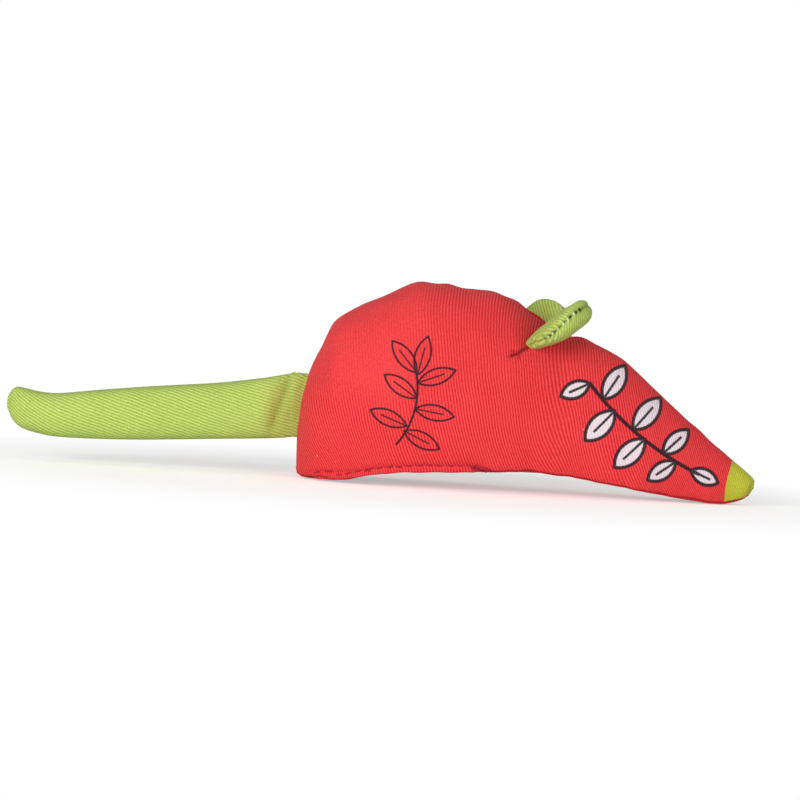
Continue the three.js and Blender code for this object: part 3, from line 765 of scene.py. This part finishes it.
def layer_grid(rows, columns, recess, hem, fullness):
    """One layer of a padded piece: a dome over each row, and its hems in the middle plane."""
    turn = np.linspace(0, math.pi, columns)
    grid = []
    for along, low_edge, high_edge, rise in rows:
        middle, half = (low_edge + high_edge) / 2, (high_edge - low_edge) / 2
        lift = thread_gap + np.maximum(rise - thread_gap, 0) * np.sin(turn) ** fullness
        gathered = recess * (1 + 0.22 * math.sin(2 * math.pi * along / 1.9))
        drawn = gathered * min(1, half / 4) * bell(lift, 0.8)
        turned_in = half - drawn[0] - min(hem, 0.5 * half) * np.array([1, 0.66, 0.33])
        across = np.r_[-turned_in, np.cos(turn) * (drawn - half), turned_in[::-1]] + middle
        lift = np.r_[[thread_gap] * 3, lift, [thread_gap] * 3]
        grid.append(joined(along, across, lift))
    return np.array(grid)


def capped(rows, bulge):
    """Rows that round off the end of a padded piece."""
    along, low_edge, high_edge, rise = rows[-1]
    middle, half = (low_edge + high_edge) / 2, (high_edge - low_edge) / 2
    return rows + [
        [along + bulge * math.sin(turn), middle - half * math.cos(turn),
         middle + half * math.cos(turn), max(rise * math.cos(turn), 0.05)]
        for turn in np.radians([30, 55, 75, 88])]


def across_run(grid):
    """How far each point lies from the middle of its row, measured over the cloth."""
    run = np.linalg.norm(np.diff(grid, axis=1, prepend=grid[:, :1]), axis=-1).cumsum(axis=1)
    return run - run[:, [run.shape[1] // 2]]


def slanted(run, along, ribs):
    """The weave of a layer with slanting ribs, from the ways over it and along it."""
    return joined(
        run * math.cos(ribs) - along * math.sin(ribs),
        run * math.sin(ribs) + along * math.cos(ribs), 0)


# The white stitches and the needle holes along the right ear's near edge, as distances from its slit when
# the ear is seen from the side. The holes are painted shade.
seen_way = np.array([math.cos(ear_lean), 0, math.sin(ear_lean)])
rim_stitches = [4.7, 6.6, 8.1, 10.1, 12.2, 14.4]
rim_holes = [3.9, 5.6, 7.3, 9.1, 11.1, 13.2, 15.6, 17.2]
root_depth = 6.5
root_half = twill + 0.15
rims = {}
for side, ear in ears.items():
    reach, ribs, shape = ear_shapes[side]
    table = through(shape, np.linspace(0, len(shape) - 1, 90))
    depth = np.linspace(-root_depth, -0.4, 12)
    narrow = 1 - 0.20 * smooth(-depth / 3.4)
    place = np.r_[depth, table[:, 0] * reach * ear["length"]]
    near = np.r_[table[0, 1] * narrow, table[:, 1]] * ear["half"]
    far = np.r_[table[0, 2] * narrow, table[:, 2]] * ear["half"]
    near_out = near - near[len(depth)]
    seen_run = (place[:, None] * ear["rise"] + near_out[:, None] * ear["chord"]) @ seen_way
    for face, sign, swelled in (("front", -1, 3), ("back", 1, 4)):
        rise = root_half + (table[0, swelled] - root_half) * smooth((depth + 5.5) / 5.5)
        rows = joined(place, -far, near, np.r_[rise, table[:, swelled]])
        flat = layer_grid(rows, ear_columns, 1.1, 2.2, 0.8)
        along, across, lift = flat[..., 0], flat[..., 1], flat[..., 2]
        bent = np.where(along[..., None] < 0, ear["root_way"], ear["rise"])
        grid = ear["hinge"] + bent * along[..., None] + ear["chord"] * across[..., None]
        share = (across + far[:, None]) / (near + far)[:, None]
        kept = np.clip(2 + 2 * depth / root_depth, 0, 1)
        near_curl, far_curl = (np.r_[table[0, k] * kept, table[:, k]] for k in (5, 6))
        curl = far_curl[:, None] + (near_curl - far_curl)[:, None] * share
        grid = grid + ear["back"] * (sign * lift + curl)[..., None]
        swelling = 0.16 * lumps(grid, 8, 21 + sign) * np.clip(lift / 1.5, 0, 1)
        grid = grid + ear["back"] * (sign * swelling)[..., None]
        # Painted shade along the rim's seam, and on the far ear low down by its slit.
        rim_seam_shade = bell(lift, 0.45)
        far_root_shade = 0.55 * smooth(1 - along / 9) * (side == "left")
        # On the right ear's near rim, painted shade in the needle holes.
        rim_hole_shade = 0 * along
        if side == "right":
            for spot in rim_holes:
                rim_hole_shade = np.maximum(rim_hole_shade, 1.3 * bell(seen_run[:, None] - spot, 0.46))
            rim_hole_shade = rim_hole_shade * (across > 0) * bell(lift, 0.75)
        toned = joined(np.maximum(rim_seam_shade, far_root_shade), 0, rim_hole_shade)
        marks = {"weave": slanted(across_run(grid), along, ribs), "wear": toned}
        rims[side, face] = grid[:, 3 + ear_columns - 1]
        nodes = [f"ear_{side}_{face}"] + ([f"ear_{side}_root"] if face == "back" else [])
        piece = cloth_sheet(
            f"ear_{side}_{face}_cloth", grid, marks, 0.7, sign < 0, ear_finish, nodes,
            "lime_twill", 0.5)
        start = (ear["hinge"] - ear["root_way"] * 1.8) * mm
        end = (ear["hinge"] + ear["rise"] * 2.2) * mm
        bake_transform(piece)
    if side == "right":
        right_rim_run = seen_run

# Tail
# Two long layers of lime twill, sewn along their top and bottom edges and filled with
# fibre. The open end is flattened and sewn in between the hems of the back seam.

# One row for each place along the tail, in shares of its length, its root's height and its
# half thickness: how far from the bending line, its top and bottom edges, and its thickness.
tail_shares = np.array([
    [0.000, 0.522, -0.548, 0.310], [0.050, 0.450, -0.565, 0.560], [0.110, 0.381, -0.585, 0.860],
    [0.250, 0.262, -0.635, 1.000], [0.390, 0.178, -0.688, 0.990], [0.533, 0.094, -0.738, 0.970],
    [0.673, 0.000, -0.770, 0.950], [0.815, -0.102, -0.775, 0.920], [0.885, -0.100, -0.735, 0.870],
    [0.938, -0.058, -0.668, 0.740], [0.970, -0.040, -0.550, 0.520], [0.988, -0.140, -0.390, 0.220]])
tail_axis = np.array(joints["tail_swing"]["pos_m"]) / mm
tail_finish = twill_finish("lime_twill_tail", lime_ridge, lime_groove, lime_fleck_and_shade, 0.9)
tail_ribs = math.radians(21)
tip_corner = box_of("tail_panel_right")[0]
tail_length = tail_axis[0] - tip_corner[0]
tail_half = -tip_corner[1]
tail_root_height = tail_high[2] - tail_low[2]
root_bottom, root_top = -tail_root_height / 2 - 0.72, tail_root_height / 2 + 0.8
tail_rows = []
for depth in np.linspace(-8.0, -0.6, 11):
    filled = smooth((depth + 4.2) / 4.2)
    rise = root_half + (tail_shares[0, 3] * tail_half - root_half) * filled
    tail_rows.append([depth, root_bottom, root_top, rise])
for along, top, bottom, thick in through(tail_shares, np.linspace(0, len(tail_shares) - 1, 130)):
    tail_rows.append([
        along * tail_length, bottom * tail_root_height, top * tail_root_height, thick * tail_half])
tail_rows = capped(tail_rows, 0.35)

# The crease across each layer, where the flattened root begins to fill out: it is sunk, and darkened with
# painted shade.
crease_top, crease_foot = np.array([-21.9, 2.5, 31.5]), np.array([-26.7, 4.5, 16.1])
for side, sign in (("right", -1), ("left", 1)):
    flat = layer_grid(tail_rows, 48, 0.6, 2.8, 0.62)
    along, up, lift = flat[..., 0], flat[..., 1], flat[..., 2]
    grid = joined(tail_axis[0] - along, sign * lift, tail_axis[2] + up)
    free = smooth(along / 6)
    push = (0.30 * lumps(grid, 20, 31 + sign) + 0.12 * lumps(grid, 7, 33)) * free
    grid[..., 1] += sign * push * np.clip(lift / 2, 0, 1)
    top, foot = (place * np.array([1, sign, 1]) for place in (crease_top, crease_foot))
    away = away_from(grid, top, foot, [0, 2])
    grid[..., 1] -= sign * 0.6 * bell(away, 1.8) * np.clip(lift / 2, 0, 1)
    weave = slanted(across_run(grid), along, tail_ribs) * mirror
    # Painted shade along the sewn edges and in the crease.
    wear = np.maximum(0.5 * bell(lift, 0.5), 0.26 * bell(away, 1.3))
    marks = {"weave": weave, "wear": joined(wear, 0, 0)}
    nodes = [f"tail_panel_{side}"] + (["tail_root"] if side == "right" else [])
    piece = cloth_sheet(
        f"tail_{side}_cloth", grid, marks, 0.8, sign > 0, tail_finish, nodes, "lime_twill", 0.75)
    start = (tail_axis + np.array([2.4, 0, 0])) * mm
    end = (tail_axis - np.array([2.7, 0, 0])) * mm
    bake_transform(piece)

# Stuffing
# Loose polyester fibre fills the body and the tail, and a wad of crushed dried catnip lies
# low in the body. They are packed by hand through the closing seam.


def loose_finish(name, light, dark, scale, depth):
    """Loose fibre or crushed leaf: tangled strands in two shades."""
    finish = bpy.data.materials.new(name)
    start = bare_shader(finish)
    strands = start.node("TexCoord", output="Object").speckle(scale, 6.0, 0.7)
    colour = ((strands - 0.3) * 2.2).held().tint(dark, light)
    rough_surface(start, colour, strands, depth, 0.8, 0.95, 0.2)
    return finish


fibre_finish = loose_finish(
    "polyester_fibre", paint(244, 243, 238), paint(214, 212, 204), 420, 0.0006)
leaf_finish = loose_finish("dried_catnip", paint(146, 150, 96), paint(84, 90, 48), 900, 0.0008)


def packed(rings, depth, seed):
    """A closed lumpy solid through rings of points, each drawn in towards its middle."""
    middles = rings.mean(axis=1, keepdims=True)
    away = rings - middles
    size = np.linalg.norm(away, axis=-1, keepdims=True)
    uneven = 0.5 * lumps(rings, 9, seed)[..., None]
    rings = middles + away * np.clip(1 - (depth + uneven) / size, 0.15, 1)
    count, around = rings.shape[:2]
    points = np.concatenate([rings.reshape(-1, 3), middles[0], middles[-1]])
    faces = []
    for k in range(around):
        after = (k + 1) % around
        faces += [
            (r * around + k, (r + 1) * around + k, (r + 1) * around + after, r * around + after)
            for r in range(count - 1)]
        faces.append((count * around, k, after))
        faces.append((count * around + 1, (count - 1) * around + after, (count - 1) * around + k))
    return points, faces


def evenly(line, count):
    return along_line(line, np.linspace(0, 1, count) * distances(line)[-1])


body_rings = []
for ring in range(6, ring_count - 8, 5):
    near_side = evenly(side_lines[ring], 26)
    far_side = evenly(left_side_lines[ring], 26)[::-1]
    under = evenly(base_lines[ring][::-1], 14)
    body_rings.append(np.concatenate([near_side, far_side[1:], under[1:-1]]))

around = np.linspace(0, 2 * math.pi, 24, endpoint=False)
tail_rings = []
for along, top, bottom, thick in through(tail_shares, np.linspace(1.4, 10.2, 48)):
    middle, half = (top + bottom) / 2, (top - bottom) / 2
    tail_rings.append(joined(
        tail_axis[0] - along * tail_length, thick * tail_half * np.cos(around),
        tail_axis[2] + (middle + half * np.sin(around)) * tail_root_height))

wad_low, wad_high = box_of("catnip_fill")
wad_rings = []
for share in np.linspace(-0.96, 0.96, 22):
    wide = math.sqrt(1 - share ** 2)
    ring = joined(share, -wide * np.cos(around), wide * np.sin(around))
    wad_rings.append((wad_low + wad_high) / 2 + ring * (wad_high - wad_low) / 2)

for name, rings, depth, seed, finish, body, node, slot in (
        ("body_stuffing", body_rings, 4.2, 41, fibre_finish, "mouse_body", "body_filling", "fibre_filling"),
        ("tail_stuffing", tail_rings, 2.6, 43, fibre_finish, "tail", "tail_filling", "fibre_filling"),
        ("catnip_wad", wad_rings, 1.0, 45, leaf_finish, "mouse_body", "catnip_fill", "dried_catnip")):
    piece = smooth_mesh(name, *packed(np.array(rings), depth, seed), finish)
    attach(piece, body)
    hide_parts(node)

# Sewing threads
# The closing seam is backstitched by hand in dark red thread, with a knot at its front end.
# White thread shows on the right ear's rim.


def thread_piece(name, paths, radius, finish, sides=7):
    """Short lengths of thread, each a round tube with closed ends."""
    points, faces = [], []
    turns = np.arange(sides)[:, None] * 2 * math.pi / sides
    for path in paths:
        way = unit(np.gradient(path, axis=0))
        aside = unit(np.cross(way, np.array([0.13, 0.31, 0.94])))
        other = np.cross(way, aside)
        first, last = len(points), len(points) + (len(path) - 1) * sides
        thin = np.r_[0.55, np.ones(len(path) - 2), 0.55] * radius
        for middle, a, b, thick in zip(path, aside, other, thin):
            points += list(middle + thick * (a * np.cos(turns) + b * np.sin(turns)))
        for ring in range(first, last, sides):
            for s in range(sides):
                a, b = ring + s, ring + (s + 1) % sides
                faces.append((a, b, b + sides, a + sides))
        faces.append(tuple(range(first, first + sides))[::-1])
        faces.append(tuple(range(last, last + sides)))
    return smooth_mesh(name, points, faces, finish)


def thread_finish(name, light, dark):
    """Twisted cotton thread."""
    finish = bpy.data.materials.new(name)
    start = bare_shader(finish)
    ply = start.node("TexCoord", output="Object").speckle(3500, 2.0)
    rough_surface(start, ply.tint(dark, light), ply, 0.0001, 0.6, 0.7, 0.3)
    return finish


dark_thread = thread_finish("dark_red_thread", paint(194, 36, 58), paint(146, 16, 38))
white_thread = thread_finish("white_thread", paint(240, 236, 214), paint(206, 200, 160))
right_skin = skins["right"]
skin_out = normals_of(right_skin)


def on_closing(x, up, lift):
    """A place on the right side: at x, that far above its lower fold, and proud of the cloth."""
    spots = []
    for at_x, at_up, at_lift in np.broadcast(x, up, lift):
        ring = np.interp(at_x, seam_x[:ring_count // 2], np.arange(ring_count // 2))
        row = int(ring)
        places = cuts["right"]["places"][row]
        column = np.interp(at_up - fold_radius, places, np.arange(len(places)))
        col = int(column)
        spots.append(sum(
            a * b * (right_skin[r, c] + skin_out[r, c] * at_lift)
            for r, a in ((row, 1 - ring + row), (row + 1, ring - row))
            for c, b in ((col, 1 - column + col), (col + 1, column - col))))
    return np.array(spots)


def strand(start, end, up, proud, sunk):
    """A stitch between two places, which comes up through the cloth and goes down again."""
    x = np.linspace(start, end, len(up))
    return on_closing(x, up, proud * np.sin(np.linspace(0, math.pi, len(up))) - sunk)


# How high above the fold the hand stitches wander, at places along the closing.
stitch_wander = np.array([
    [-12.1, 1.7], [-8.9, 2.9], [-6.6, 2.6], [-4.7, 1.4], [-3.0, 1.4], [2.3, 2.0], [4.3, 2.4],
    [7.5, 2.3], [14.5, 2.1], [18.0, 2.0], [24.1, 2.4], [29.5, 2.2], [36.0, 2.2]])
stitch_length, last_stitch = 2.6, 34.5
draw = np.random.default_rng(8)
paths = []
stitch_start = stitch_wander[0, 0]
while stitch_start < last_stitch:
    length = stitch_length * draw.uniform(0.8, 1.2)
    stitch_end = stitch_start + length
    up = np.interp(np.linspace(stitch_start, stitch_end, 9), *stitch_wander.T)
    up += np.linspace(draw.uniform(-0.2, 0.2), draw.uniform(-0.2, 0.2), 9)
    paths.append(strand(stitch_start, stitch_end, up, 0.42, 0.22))
    stitch_start += length + draw.uniform(0.4, 1.1)

# Two lower strands, where the thread was started and where it was sewn over.
for first, last, low in ((-12.0, -7.4, 0.9), (3.8, 6.0, 1.5)):
    up = low + 0.25 * np.sin(np.linspace(first, last, 12) * 1.7)
    paths.append(strand(first, last, up, 0.4, 0.2))

# The knot's turns, from the outside in, and its two loose ends.
knot_middle = 40.8
for turns, wide, tall, lift in ((2.3, 3.3, 0.85, 0.3), (1.6, 1.9, 0.5, 0.55)):
    turn = np.linspace(0.4, 0.4 + turns * 2 * math.pi, 60)
    wobble = 1 + 0.14 * np.sin(turn * 1.7)
    x = knot_middle + wide * wobble * np.cos(turn)
    paths.append(on_closing(x, 1.7 + tall * wobble * np.sin(turn), lift + 0.12 * np.sin(turn * 2.3)))
for x0, up0, x1, up1 in ((38.3, 1.9, 36.0, 2.4), (43.3, 1.5, 47.3, 0.7)):
    x = np.linspace(x0, x1, 10)
    paths.append(on_closing(x, np.linspace(up0, up1, 10), np.linspace(0.35, 0.1, 10)))
stitches = thread_piece("closing_stitches", paths, 0.24, dark_thread)
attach(stitches, "mouse_body")

ear = ears["right"]
rim = (rims["right", "front"] + rims["right", "back"]) / 2
outward = unit(np.cross(np.gradient(rim, axis=0), ear["back"]))
paths = []
half_stitch = 0.55
for spot in rim_stitches:
    middle, way = (along_line(line, spot, right_rim_run) for line in (rim, outward))
    aside = np.linspace(-half_stitch, half_stitch, 9)[:, None]
    arch = 0.62 + 0.35 * np.exp(-spot / 7) + 0.22 * np.cos(aside / half_stitch * math.pi / 2)
    paths.append(middle + ear["back"] * aside + way * arch + ear["rise"] * 0.25 * aside)
rim_threads = thread_piece("ear_right_rim_stitches", paths, 0.32, white_thread)
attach(rim_threads, "ear_right")

# Floor, light and camera
# The toy stands on a plain white floor in soft daylight that comes from the front.
white = (1, 1, 1, 1)


def seen_rays(start):
    """1 for what the camera sees, straight, in a gloss or through glass, and 0 for the rest."""
    camera, glossy, through_glass = (
        start.node("LightPath", output=f"Is {kind} Ray")
        for kind in ("Camera", "Glossy", "Transmission"))
    return camera.most(glossy).most(through_glass)


# Round the toy the floor is matt and takes its shadow, and further out it is plain white.
floor_mesh = bpy.data.meshes.new("floor")
floor_half = 3.0
corners = [(x * floor_half, y * floor_half, 0) for x, y in ((-1, -1), (1, -1), (1, 1), (-1, 1))]
floor_mesh.from_pydata(corners, [], [(0, 1, 2, 3)])
floor = linked("floor", floor_mesh)
floor.location.z = -0.0002
white_floor = bpy.data.materials.new("white_floor")
start = bare_shader(white_floor)
x, y, _ = start.node("TexCoord", output="Object").parts()
from_toy = (((x - 0.01) / 0.19) ** 2 + (y / 0.16) ** 2) ** 0.5
clear = ((from_toy - 0.55) / 0.5).held()
seen = seen_rays(start)
matt = start.node("BsdfDiffuse", {"Color": (0.93, 0.93, 0.93, 1)})
lifted = start.node("Emission", {"Color": white, "Strength": 0.42 * seen})
shadowed = start.node("AddShader", {0: matt, 1: lifted})
glow = start.node("Emission", {"Color": white, "Strength": 1.0})
both = start.node("MixShader", {0: clear * seen, 1: shadowed, 2: glow})
start.node("OutputMaterial", {"Surface": both})
floor_mesh.materials.append(white_floor)

world = bpy.data.worlds.new("studio")
bpy.context.scene.world = world
start = bare_shader(world)
strength = 0.31 + 0.69 * seen_rays(start)
sky = start.node("Background", {"Color": white, "Strength": strength})
start.node("OutputWorld", {"Surface": sky})

lamp_size = 0.7
lit_place = Vector((0.02, 0, 0.03))
for name, place, watts in (("window", (-0.62, -1.05, 0.26), 12.2), ("card", (0.75, -0.9, 0.10), 5.6)):
    light = bpy.data.lights.new(name, "AREA")
    light.size = lamp_size
    light.energy = watts
    lamp = linked(name, light)
    lamp.location = place
    lamp.rotation_euler = (lit_place - Vector(place)).to_track_quat("-Z", "Y").to_euler()

# The camera looks at the toy's right side, almost level, and is rolled as in the photo.
elevation = math.radians(2.7)
roll_angle = math.radians(3.7)
aim = Vector((0.01366, 0, 0.0264))
distance = 1.8
view_width = 0.256
sensor_width = 36
camera_data = bpy.data.cameras.new("camera")
camera_data.sensor_width = sensor_width
camera_data.lens = sensor_width * distance / view_width
camera = linked("camera", camera_data)
backward = Vector((0, -math.cos(elevation), math.sin(elevation)))
level_up = Vector((0, math.sin(elevation), math.cos(elevation)))
right = level_up.cross(backward)
rolled_up = level_up * math.cos(roll_angle) - right * math.sin(roll_angle)
rolled_right = rolled_up.cross(backward)
turned = Matrix((rolled_right, rolled_up, backward)).transposed().to_4x4()
camera.matrix_world = Matrix.Translation(aim + backward * distance) @ turned
bpy.context.scene.camera = camera
bpy.context.scene.view_settings.view_transform = "Standard"
